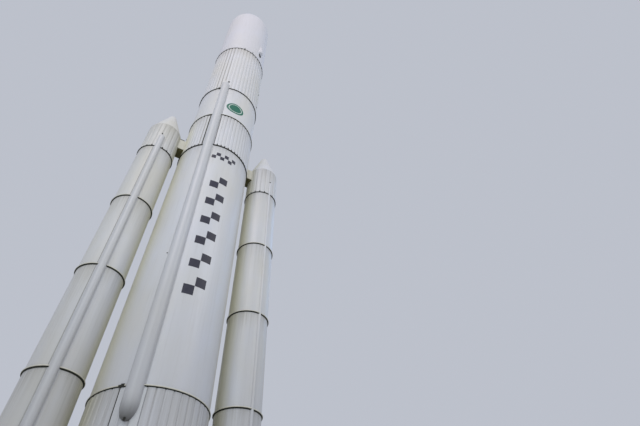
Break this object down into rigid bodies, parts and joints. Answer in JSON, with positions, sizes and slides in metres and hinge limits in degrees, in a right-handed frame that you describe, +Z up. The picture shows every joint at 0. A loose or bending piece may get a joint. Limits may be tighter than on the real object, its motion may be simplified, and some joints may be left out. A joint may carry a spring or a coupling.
{
  "type": "space rocket scale model",
  "caption": "Space rocket with a ribbed core, strap-on boosters, an opening payload fairing and gimballed nozzles, as a 1:2 scale model.",
  "frame": {"origin": "on the core's axis, at the launch table that the boosters' base rings stand on", "axes": "+Z up along the core, +X towards the right booster, -Y towards the side of the feed-line duct"},
  "size_m": [4.418, 2.095, 24.6982],
  "materials": {
    "white_paint": "weathered matt white paint",
    "dark_steel": "dark machined steel",
    "engine_alloy": "heat-tinted alloy",
    "carbon_phenolic": "dull black composite",
    "insulation": "matt insulation board"
  },
  "bodies": {
    "core": {"upper_ribbed_barrel": "white_paint", "upper_smooth_barrel": "white_paint", "interstage_barrel": "white_paint", "main_tank_barrel": "white_paint", "engine_skirt": "white_paint", "feed_line_duct": "white_paint", "cable_tunnel": "white_paint", "payload_adapter": "engine_alloy", "thrust_frame": "dark_steel", "base_heat_shield": "insulation", "right_booster_nose_cone": "white_paint", "right_booster_forward_skirt": "white_paint", "right_booster_segment_1": "white_paint", "right_booster_segment_2": "white_paint", "right_booster_segment_3": "white_paint", "right_booster_segment_4": "white_paint", "right_booster_aft_skirt": "white_paint", "right_booster_wide_raceway": "white_paint", "right_booster_narrow_raceway": "white_paint", "right_booster_forward_beam": "white_paint", "right_booster_aft_beam": "white_paint", "left_booster_nose_cone": "white_paint", "left_booster_forward_skirt": "white_paint", "left_booster_segment_1": "white_paint", "left_booster_segment_2": "white_paint", "left_booster_segment_3": "white_paint", "left_booster_segment_4": "white_paint", "left_booster_aft_skirt": "white_paint", "left_booster_wide_raceway": "white_paint", "left_booster_narrow_raceway": "white_paint", "left_booster_forward_beam": "white_paint", "left_booster_aft_beam": "white_paint"},
    "fairing_front": {"fairing_half_front": "white_paint", "fairing_vent_front": "white_paint"},
    "fairing_rear": {"fairing_half_rear": "white_paint", "fairing_vent_rear": "white_paint"},
    "main_ring": {"main_engine_gimbal_ring": "dark_steel"},
    "main_engine": {"main_engine_powerhead": "dark_steel", "main_engine_nozzle": "engine_alloy"},
    "right_ring": {"right_booster_gimbal_ring": "dark_steel"},
    "right_nozzle": {"right_booster_nozzle": "carbon_phenolic"},
    "left_ring": {"left_booster_gimbal_ring": "dark_steel"},
    "left_nozzle": {"left_booster_nozzle": "carbon_phenolic"}
  },
  "joints": [
    {"name": "fairing_front_hinge", "type": "hinge", "parent": "core", "child": "fairing_front", "pos_m": [0, -1.03, 18.7], "axis": [1, 0, 0], "range_deg": [0, 70]},
    {"name": "fairing_rear_hinge", "type": "hinge", "parent": "core", "child": "fairing_rear", "pos_m": [0, 1.03, 18.7], "axis": [-1, 0, 0], "range_deg": [0, 70]},
    {"name": "main_engine_pitch", "type": "hinge", "parent": "core", "child": "main_ring", "pos_m": [0, 0, 2.45], "axis": [1, 0, 0], "range_deg": [-7, 7]},
    {"name": "main_engine_yaw", "type": "hinge", "parent": "main_ring", "child": "main_engine", "pos_m": [0, 0, 2.45], "axis": [0, 1, 0], "range_deg": [-7, 7]},
    {"name": "right_nozzle_pitch", "type": "hinge", "parent": "core", "child": "right_ring", "pos_m": [1.609, 0, 1.375], "axis": [1, 0, 0], "range_deg": [-5, 5]},
    {"name": "right_nozzle_yaw", "type": "hinge", "parent": "right_ring", "child": "right_nozzle", "pos_m": [1.609, 0, 1.375], "axis": [0, 1, 0], "range_deg": [-5, 5]},
    {"name": "left_nozzle_pitch", "type": "hinge", "parent": "core", "child": "left_ring", "pos_m": [-1.609, 0, 1.375], "axis": [1, 0, 0], "range_deg": [-5, 5]},
    {"name": "left_nozzle_yaw", "type": "hinge", "parent": "left_ring", "child": "left_nozzle", "pos_m": [-1.609, 0, 1.375], "axis": [0, 1, 0], "range_deg": [-5, 5]}
  ]
}
